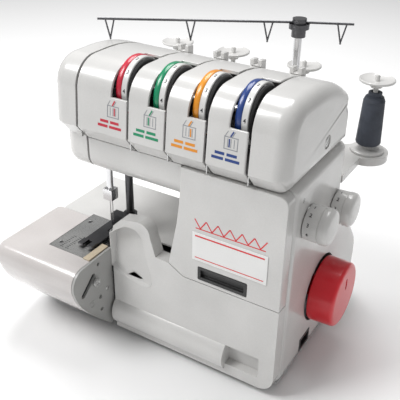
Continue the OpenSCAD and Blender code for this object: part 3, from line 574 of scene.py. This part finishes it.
# ---------------------------------------------------------------------------
# Needle plate, seam guard and the cutting and looping parts under it.
# Ground and plated steel, screwed to the frame; the guard is a folded strip.
ground_steel = paint("ground_steel", (0.36, 0.36, 0.36), (0.52, 0.52, 0.51), 0.30, metal=1.0, grain=900.0,
                     stretch=(1.0, 9.0, 1.0), spread=0.10)
guard_plastic = paint("guard_plastic", (0.55, 0.46, 0.33), (0.64, 0.55, 0.41), 0.40)
plate_low, plate_top = 103.0, 105.0
tool_low, tool_top = 100.0, 110.0
bed_plate = cutter_block((-245.0, -26.0, plate_low), (-200.0, 44.0, plate_top))
bed_plate.name = "needle_plate_ground"
cut(bed_plate, cutter_block((-208.0, 23.0, tool_low), (-202.0, 32.0, tool_top)))
for feed_slot in (-221.0, -213.0):
    cut(bed_plate, cutter_block((feed_slot, 4.0, tool_low), (feed_slot + 4.0, 42.0, tool_top)))
for hole_y in (-16.0, 30.0):
    cut(bed_plate, turned("hole_tool", drawn(-238.0, hole_y, 0.0), [
        (tool_low, 0.0), (tool_low, 2.2), (tool_top, 2.2), (tool_top, 0.0)], steps=28, axis="Z"))
softened(bed_plate, 0.00025)
finished(bed_plate, ground_steel, "machine")
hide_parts("needle_plate")


def joined(name, pieces):
    """One piece made of all of these."""
    whole = picked(*pieces)
    bpy.ops.object.join()
    whole.name = name
    return whole


scale_marks = []
ticks, tick_pitch, tick_thick = 9, 2.6, 0.7
for row_x in (-235.0, -228.0):
    for tick in range(ticks):
        tick_y = -22.0 + tick_pitch * tick
        tick_long = 4.4 if tick % 4 == 0 else 3.0
        scale_marks.append(cutter_block((row_x, tick_y, plate_top - 0.02),
                                        (row_x + tick_long, tick_y + tick_thick, plate_top + 0.05)))
finished(joined("needle_plate_scale", scale_marks), print_ink_and_shade, "machine")
rounded_cover("seam_guard", "machine", guard_plastic, 0.0004)
for tool, rider in (("upper_knife", "upper_knife_body"), ("lower_knife", "machine"),
                    ("upper_looper", "upper_looper_body"), ("lower_looper", "lower_looper_body")):
    rounded_cover(tool, rider, plated_steel, 0.0003)
dark_steel = paint("dark_steel", (0.055, 0.055, 0.058), (0.12, 0.12, 0.125), 0.33, metal=1.0, grain=800.0,
                   spread=0.1)
rounded_cover("feed_dogs", "feed_body", dark_steel, 0.00015)


# ---------------------------------------------------------------------------
# Needle bar with its clamp, needles, presser bar, foot and lifter.
# Chromed bars run in the die-cast frame; the foot and the lifter are blued steel.
chrome = paint("chrome", (0.62, 0.62, 0.63), (0.82, 0.82, 0.83), 0.12, metal=1.0, grain=500.0,
               stretch=(8.0, 8.0, 1.0), spread=0.05)
rounded_cover("needle_bar", "needle_body", chrome, 0.0004)
rounded_cover("needles", "needle_body", chrome, 0.00005)
rounded_cover("presser_bar", "presser_body", dark_steel, 0.0004)
rounded_cover("presser_foot", "presser_body", dark_steel, 0.0004)
rounded_cover("presser_lifter", "lifter_body", dark_steel, 0.0005)


# ---------------------------------------------------------------------------
# Die-cast frame and drive: shaft, bearings, pulleys, belt and motor.
# They sit inside the covers and show through the openings and with a cover open.
cast_metal = paint("cast_metal", (0.25, 0.25, 0.26), (0.33, 0.33, 0.34), 0.5, metal=0.9, grain=500.0,
                   bump=0.3)
bearing_bronze = paint("bearing_bronze", (0.42, 0.25, 0.09), (0.55, 0.36, 0.15), 0.35, metal=1.0)
belt_rubber = paint("belt_rubber", (0.012, 0.012, 0.012), (0.03, 0.03, 0.03), 0.7, bump=0.3, grain=1200.0)
motor_enamel = paint("motor_enamel", (0.05, 0.05, 0.055), (0.10, 0.10, 0.105), 0.45, metal=0.4, grain=900.0)
inner_finish = {
    "machine_frame": cast_metal, "main_shaft": plated_steel, "shaft_bearings": bearing_bronze,
    "shaft_pulley": dark_steel, "motor": motor_enamel, "motor_pulley": plated_steel,
    "drive_belt": belt_rubber, "hinge_pins": plated_steel, "dial_spindle": plated_steel,
    "tension_discs": plated_steel, "thread_slot_guides": plated_steel}
for part, finish in inner_finish.items():
    for held in frame["nodes"][part].material_slots:
        held.material = finish


# ---------------------------------------------------------------------------
# Tension dials.
# Turned plastic wheels on one spindle: a coloured tyre, a white band with the
# numbers 0 to 9, and a dark ribbed clutch ring at the right.
ring_plastic = paint("ring_plastic", (0.02, 0.02, 0.021), (0.05, 0.05, 0.05), 0.45)
band_plastic = paint("band_plastic", (0.60, 0.60, 0.59), (0.70, 0.70, 0.69), 0.3, coat=0.3)
tyre_tones = {
    "red": ((0.47, 0.012, 0.035), (0.60, 0.03, 0.06)), "green": ((0.0, 0.20, 0.085), (0.01, 0.28, 0.13)),
    "orange": ((0.66, 0.22, 0.008), (0.78, 0.30, 0.02)), "navy": ((0.008, 0.035, 0.17), (0.02, 0.06, 0.25))}
dial_names = ("red", "green", "orange", "navy")


def band_numbers(name, hub, along, reach, figures, first, step, height, body):
    """Printed numbers bent round a wheel about hub; first and step are degrees round its axis."""
    marks = []
    for count, figure in enumerate(figures):
        bpy.ops.object.select_all(action="DESELECT")
        bpy.ops.object.text_add(location=(0.0, 0.0, 0.0))
        mark = bpy.context.object
        mark.data.body = str(figure)
        mark.data.size = height * MM
        mark.data.align_x = "CENTER"
        mark.data.align_y = "CENTER"
        mark.data.resolution_u = 2
        mark.data.offset = 0.00008
        bpy.ops.object.convert(target="MESH")
        turn = math.radians(first - step * count)
        for corner in mark.data.vertices:
            flat_x, flat_y = corner.co.x, corner.co.y
            bend = turn + flat_y / (reach * MM)
            around = Vector((0.0, -math.cos(bend), math.sin(bend))) * (reach * MM)
            corner.co = hub + around + Vector((along * MM + flat_x, 0.0, 0.0))
        marks.append(mark)
    figures_ring = joined(name, marks)
    thick = figures_ring.modifiers.new("print", "SOLIDIFY")
    thick.thickness = 0.00006
    bpy.ops.object.modifier_apply(modifier=thick.name)
    return finished(figures_ring, print_ink_and_shade, body)


bore = 3.05
ribs = 72
for number, tint in enumerate(dial_names, start=1):
    low_corner, high_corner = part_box(f"tension_dial_{number}")
    dial_body = f"dial_{number}_body"
    hub = Vector((low_corner.x, (low_corner.y + high_corner.y) / 2.0, (low_corner.z + high_corner.z) / 2.0))
    radius = (high_corner.z - low_corner.z) / 2.0 / MM
    width = (high_corner.x - low_corner.x) / MM
    tyre_end = width * 0.40
    band_end = width * 0.80
    tyre = turned(f"dial_tyre_{tint}", hub, [
        (0.0, bore), (0.0, radius - 1.6), (0.5, radius - 0.5), (1.6, radius), (tyre_end - 1.0, radius),
        (tyre_end, radius - 0.6), (tyre_end, bore)], close=True, steps=ribs)
    finished(tyre, paint(f"tyre_{tint}", *tyre_tones[tint], 0.26, coat=0.4), dial_body)
    band = turned(f"dial_band_{tint}", hub, [
        (tyre_end, bore), (tyre_end, radius - 1.1), (tyre_end + 0.4, radius - 0.8), (band_end - 0.5, radius - 0.8),
        (band_end, radius - 1.3), (band_end, bore)], close=True, steps=ribs)
    finished(band, band_plastic, dial_body)
    ring = turned(f"dial_ring_{tint}", hub, [
        (band_end, radius - 12.0), (band_end, radius - 2.4), (width - 1.0, radius - 2.4), (width, radius - 3.4),
        (width, radius - 12.0)], close=True, steps=ribs)
    bpy.ops.object.mode_set(mode="EDIT")
    bpy.ops.mesh.select_all(action="DESELECT")
    bpy.ops.object.mode_set(mode="OBJECT")
    for face in ring.data.polygons:
        rim = face.center - hub
        rim.x = 0.0
        rib = round(math.atan2(rim.z, rim.y) / (2.0 * math.pi / ribs))
        face.select = rim.length > (radius - 2.6) * MM and rib % 2 == 0
    bpy.ops.object.mode_set(mode="EDIT")
    bpy.ops.mesh.select_mode(type="FACE")
    bpy.ops.mesh.inset(thickness=0.0002, depth=-0.0006, use_individual=True)
    bpy.ops.mesh.select_mode(type="VERT")
    bpy.ops.object.mode_set(mode="OBJECT")
    finished(ring, ring_plastic, dial_body)
    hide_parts(f"tension_dial_{number}")
    band_numbers(f"dial_numbers_{tint}", hub, (tyre_end + band_end) / 2.0, radius - 0.76, range(10), 150.0, 36.0,
                 5.2, dial_body)


# ---------------------------------------------------------------------------
# Threading guide prints on the four tension panels.
# Pad-printed marks in each dial's colour: a small thread path drawing over two rows of plain bars.
def printed(name, target, blocks, material):
    """Thin ink on the front of target; blocks are (x, z, width, height, lean in degrees) in millimetres."""
    marks = []
    for x, z, wide, high, lean in blocks:
        bpy.ops.object.select_all(action="DESELECT")
        bpy.ops.mesh.primitive_grid_add(x_subdivisions=6, y_subdivisions=6, size=1.0,
                                        location=drawn(x, -25.0, z), rotation=(math.pi / 2.0, 0.0, 0.0))
        mark = bpy.context.object
        mark.scale = (wide * MM, high * MM, 1.0)
        mark.rotation_euler = (math.pi / 2.0, math.radians(lean), 0.0)
        bpy.ops.object.transform_apply(location=True, rotation=True, scale=True)
        marks.append(mark)
    sheet = joined(name, marks)
    wrap = sheet.modifiers.new("on_panel", "SHRINKWRAP")
    wrap.target = target
    wrap.wrap_method = "PROJECT"
    wrap.wrap_mode = "ABOVE_SURFACE"
    wrap.use_project_y = True
    wrap.use_positive_direction = True
    wrap.use_negative_direction = False
    wrap.offset = 0.00005
    bpy.ops.object.modifier_apply(modifier=wrap.name)
    ink_film = sheet.modifiers.new("ink_film", "SOLIDIFY")
    ink_film.thickness = 0.00005
    ink_film.offset = 1.0
    bpy.ops.object.modifier_apply(modifier=ink_film.name)
    return finished(sheet, material, "machine")


sketch_ink = paint("sketch_ink", (0.20, 0.21, 0.23), (0.28, 0.29, 0.31), 0.45)
panel_edges = (-153.1, -113.9, -74.7, -35.5)
bar_marks = [(-5.6, 249.6, 9.0), (5.6, 249.6, 9.4), (-7.4, 245.2, 11.0), (6.4, 245.2, 13.2)]
bar_high = 2.5
sketch_marks = [
    (0.0, 254.4, 13.0, 0.7, 0.0), (-6.0, 259.4, 0.7, 9.4, 0.0), (6.0, 259.4, 0.7, 9.4, 0.0),
    (0.0, 264.6, 13.0, 0.7, 0.0), (-3.0, 259.6, 0.6, 7.4, 0.0), (0.0, 259.6, 0.6, 7.4, 0.0),
    (3.0, 259.6, 0.6, 7.4, 0.0), (-4.4, 267.2, 0.6, 5.4, 30.0), (2.0, 267.2, 0.6, 5.4, 30.0)]
for number, (tint, right_edge) in enumerate(zip(dial_names, panel_edges), start=1):
    panel = bpy.data.objects[f"tension_panel_{number}_moulded"]
    middle = right_edge - 19.5
    tone_ink = paint(f"print_{tint}", *tyre_tones[tint], 0.42)
    printed(f"panel_bars_{tint}", panel, [(middle + x, z, wide, bar_high, 0.0) for x, z, wide in bar_marks],
            tone_ink)
    path = middle + 4.0
    printed(f"panel_drawing_{tint}", panel, [(path + mark[0], *mark[1:]) for mark in sketch_marks],
            sketch_ink)
    thread_x = path - 1.5 + 3.0 * (number % 2)
    printed(f"panel_path_{tint}", panel, [(thread_x, 259.6, 1.3, 7.0, 0.0), (path + 0.6, 267.4, 1.3, 5.4, 30.0)],
            tone_ink)


# ---------------------------------------------------------------------------
# Handwheel.
# A red moulding keyed to the main shaft, with a stepped rim and a slot in its face.
def outer_hub(node):
    """The centre of a node's right face, and the node's radius in millimetres."""
    low_corner, high_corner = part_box(node)
    centre = Vector((high_corner.x, (low_corner.y + high_corner.y) / 2.0, (low_corner.z + high_corner.z) / 2.0))
    return centre, (high_corner.z - low_corner.z) / 2.0 / MM


wheel_hub, wheel_r = outer_hub("handwheel")
red_plastic = paint("red_plastic", (0.62, 0.004, 0.014), (0.74, 0.012, 0.026), 0.30, coat=0.25)
wheel = turned("handwheel_moulding", wheel_hub, [
    (-42.0, 5.0), (-42.0, 12.0), (-27.0, 12.0), (-27.0, wheel_r - 1.4), (-26.6, wheel_r - 0.4),
    (-25.6, wheel_r), (-4.4, wheel_r - 0.7), (-3.0, wheel_r - 1.0), (-1.9, wheel_r - 1.7),
    (-1.1, wheel_r - 2.8), (-0.6, wheel_r - 4.2), (-0.4, wheel_r - 6.0), (-0.4, 0.0), (-12.0, 0.0),
    (-12.0, 5.0)], steps=96, close=True)
cut(wheel, cutter_block((25.0, 96.2, 80.0), (30.0, 99.8, 93.0), 1.2))
flat_shading(wheel)
finished(wheel, red_plastic, "drive_body")
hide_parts("handwheel")


# ---------------------------------------------------------------------------
# Stitch length and differential feed knobs.
# White knobs on short spindles: a tapered grip with printed numbers, a groove and a domed cap.
for knob_node, knob_body in (
        ("stitch_length_knob", "stitch_length_body"), ("differential_knob", "differential_body")):
    knob_hub, grip = outer_hub(knob_node)
    wall = right_wall / MM - knob_hub.x / MM
    knob = turned(knob_node + "_turned", knob_hub, [
        (wall - 10.0, 0.0), (wall - 10.0, 3.0), (wall + 0.6, 3.0), (wall + 0.6, grip - 1.4), (wall + 1.0, grip - 0.9),
        (-10.2, grip - 0.5), (-9.9, grip - 0.9), (-9.5, grip - 0.9), (-9.2, grip - 0.2), (-8.8, grip),
        (-4.2, grip - 0.2), (-2.8, grip - 0.6), (-1.6, grip - 1.6), (-0.8, grip - 3.0), (-0.4, grip - 4.8),
        (-0.2, grip - 7.0), (0.0, 0.0)], steps=96)
    finished(knob, white_plastic, knob_body)
    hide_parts(knob_node)
    band_numbers(knob_node + "_numbers", knob_hub, wall + 5.6, grip - 0.62, (1, 2, 3, 4), 84.0, 33.0, 5.0,
                 knob_body)


# ---------------------------------------------------------------------------
# Spool pins with their base discs and dish caps.
# White polypropylene; each cap is pushed over its pin and keeps the cone from whipping.
cap_r = 18.0
pin_r = 2.5
stand_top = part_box("spool_stand")[1].z / MM
pin_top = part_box("spool_pins")[1].z / MM
pin_places = [(-233.0, 194.0), (-163.0, 198.0), (-79.0, 198.0), (-1.0, 198.0)]
disc_profile = [
    (0.05, pin_r), (0.05, cap_r - 0.8), (0.8, cap_r - 0.5), (2.4, cap_r - 0.6), (3.0, cap_r - 1.6), (3.0, 7.0),
    (4.0, 6.0), (7.4, 5.6), (8.0, 5.0), (8.0, pin_r)]
cap_profile = [
    (-13.0, pin_r), (-13.0, 5.4), (-12.4, 6.0), (-9.4, 6.0), (-8.6, cap_r - 6.0), (-6.4, cap_r - 0.4),
    (-5.6, cap_r), (-4.6, cap_r - 0.2), (-4.0, cap_r - 1.0), (-5.0, cap_r - 3.0), (-6.0, cap_r - 7.0),
    (-6.2, pin_r)]
for count, (pin_x, pin_y) in enumerate(pin_places, start=1):
    foot = drawn(pin_x, pin_y, 0.0)
    pin = turned(f"spool_pin_{count}", foot, [
        (stand_top - 8.0, 0.0), (stand_top - 8.0, pin_r), (pin_top - 1.4, pin_r), (pin_top - 0.4, 1.8),
        (pin_top, 0.0)], steps=24, axis="Z")
    disc = turned(f"spool_base_disc_{count}", foot, [(stand_top + up, radius) for up, radius in disc_profile],
                  steps=48, axis="Z", close=True)
    cap = turned(f"spool_cap_{count}", foot, [(pin_top + up, radius) for up, radius in cap_profile],
                 steps=48, axis="Z", close=True)
    for piece in (pin, disc, cap):
        finished(piece, white_plastic, "machine")
    if count == 1:
        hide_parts("spool_pins")


# ---------------------------------------------------------------------------
# Spool of sewing thread on the right pin.
# A plastic core cross-wound with slate blue thread; the winding tapers to its top.
spool_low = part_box("thread_spool")[0].z / MM
spool_x, spool_y = pin_places[3]
thread_wound = paint("thread_wound", (0.025, 0.030, 0.042), (0.062, 0.072, 0.095), 0.62, grain=500.0, bump=0.8,
                     stretch=(1.0, 1.0, 9.0), spread=0.1, patch=60.0)
core_r = 4.0
turns = 46
winding = [(0.0, core_r), (0.0, 11.4), (1.2, 12.6)]
for row in range(turns + 1):
    share = row / turns
    swell = 0.16 if row % 2 == 0 else -0.10
    shoulder_drop = 1.6 * max(0.0, share - 0.92) / 0.08
    winding.append((2.4 + share * 48.4, 12.75 - 2.1 * share + swell - shoulder_drop))
winding += [(51.6, 7.0), (55.6, 6.8), (56.0, 6.2), (56.0, core_r)]
spool = turned("thread_spool_wound", drawn(spool_x, spool_y, 0.0),
               [(spool_low + up, radius) for up, radius in winding], steps=40, axis="Z", close=True)
finished(spool, thread_wound, "machine")
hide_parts("thread_spool")


# ---------------------------------------------------------------------------
# Telescopic mast and the wire thread guide.
# Chromed tubes with rolled ends slide in each other; the guide is bent from dark spring wire.
for tube_node, tube_body in (
        ("mast_tube", "machine"), ("mast_middle", "mast_middle_body"), ("mast_top", "mast_top_body")):
    rounded_cover(tube_node, tube_body, chrome, 0.0004)
guide_wire = paint("guide_wire", (0.10, 0.10, 0.105), (0.19, 0.19, 0.20), 0.3, metal=1.0, grain=600.0)
for held in frame["nodes"]["thread_guide"].material_slots:
    held.material = guide_wire


# ---------------------------------------------------------------------------
# Mains inlet and the push switch on the right side.
# Black mouldings snapped into the column wall.
black_plastic = paint("black_plastic", (0.012, 0.012, 0.012), (0.032, 0.032, 0.032), 0.4, bump=0.15)
rounded_cover("power_inlet", "machine", black_plastic, 0.0008)
rounded_cover("power_switch", "switch_body", black_plastic, 0.0008)


# ---------------------------------------------------------------------------
# Label plate, its plain red prints, and the looper window under it.
# The plate is a satin sheet glued on; the window is one black moulding with a sunk pane.
label_sheet = paint("label_sheet", (0.76, 0.76, 0.75), (0.82, 0.82, 0.81), 0.38)
label = rounded_cover("label_plate", "machine", label_sheet, 0.0002)
rounded_cover("looper_window", "machine", black_plastic, 0.0004)
rule_ink = paint("rule_ink", (0.62, 0.010, 0.020), (0.72, 0.020, 0.030), 0.42)
rule_x, rule_long = -52.0, 70.0
printed("label_rules", label, [(rule_x, 157.6, rule_long, 1.5, 0.0), (rule_x, 134.4, rule_long, 0.9, 0.0)],
        rule_ink)
stitches, stitch_pitch, stitch_lean = 12, 6.0, 34.0
zigzag = [(-85.0 + stitch_pitch * count, 170.2, 1.1, 10.6, stitch_lean if count % 2 else -stitch_lean)
          for count in range(stitches)]
printed("stitch_motif", front_panel, [(rule_x, 165.2, rule_long, 1.0, 0.0)] + zigzag, rule_ink)
